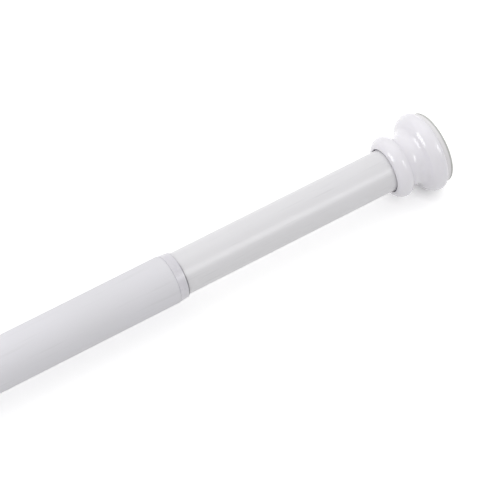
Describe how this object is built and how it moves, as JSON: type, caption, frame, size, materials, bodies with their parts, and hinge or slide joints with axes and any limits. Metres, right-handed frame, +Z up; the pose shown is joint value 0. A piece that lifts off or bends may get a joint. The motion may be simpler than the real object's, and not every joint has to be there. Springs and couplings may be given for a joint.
{
  "type": "extendable shower curtain rod",
  "caption": "White telescopic tension rod: thin tube sliding in a wide tube, guide collar, round flared end caps with rubber wall pads, twist-lock brake and spring inside.",
  "frame": {"origin": "centre of the wide tube's grip disc, on its wall face", "axes": "+X along the rod to the thin tube's wall pad, +Z up"},
  "size_m": [1.2155, 0.0418, 0.0416],
  "materials": {
    "tube_paint": "satin",
    "inner_tube_paint": "gloss",
    "collar_plastic": "translucent satin",
    "cap_plastic": "gloss",
    "plug_plastic": "moulded",
    "shoe_plastic": "moulded",
    "liner_rubber": "matte",
    "pad_rubber": "matte",
    "grip_rubber": "matte",
    "screw_steel": "zinc plated",
    "spring_steel": "oiled"
  },
  "bodies": {
    "outer_half": {"outer_tube": "tube_paint", "mouth_collar": "collar_plastic", "outer_cap": "cap_plastic", "outer_cap_plug": "plug_plastic", "outer_cap_screw": "screw_steel", "outer_wall_pad": "pad_rubber", "outer_grip_disc": "grip_rubber"},
    "lock": {"screw_spindle": "plug_plastic", "spindle_clip": "spring_steel", "brake_core": "plug_plastic", "core_pin": "spring_steel", "brake_disc": "plug_plastic", "brake_screw": "screw_steel"},
    "brake": {"brake_shoe": "shoe_plastic", "shoe_liner": "liner_rubber"},
    "washer": {"thrust_washer": "spring_steel"},
    "nut": {"drive_nut": "plug_plastic"},
    "inner_half": {"inner_tube": "inner_tube_paint", "keyed_sleeve": "plug_plastic", "glide_ring": "shoe_plastic", "tension_spring": "spring_steel", "spring_stop": "plug_plastic", "inner_cap": "cap_plastic", "inner_cap_plug": "plug_plastic", "inner_cap_screw": "screw_steel", "inner_wall_pad": "pad_rubber", "inner_grip_disc": "grip_rubber"}
  },
  "joints": [
    {"name": "telescope", "type": "slide", "parent": "outer_half", "child": "lock", "axis": [1, 0, 0], "range_m": [-0.11, 0.68]},
    {"name": "brake_turn", "type": "hinge", "parent": "lock", "child": "brake", "pos_m": [0, 0, 0.0009], "axis": [1, 0, 0], "range_deg": [0, 58]},
    {"name": "screw_feed", "type": "slide", "parent": "lock", "child": "washer", "axis": [1, 0, 0], "range_m": [0, 0.03]},
    {"name": "twist", "type": "hinge", "parent": "washer", "child": "nut", "pos_m": [0, 0, 0], "axis": [1, 0, 0], "range_deg": [0, 1800.5]},
    {"name": "spring_travel", "type": "slide", "parent": "nut", "child": "inner_half", "axis": [1, 0, 0], "range_m": [-0.008, 0], "stiffness_N_per_m": 6000, "springref_m": 0.006, "deforming": ["tension_spring"]}
  ],
  "couplings": [
    {"joint": "twist", "follows": "screw_feed", "rad_per_m": 1047.2}
  ]
}
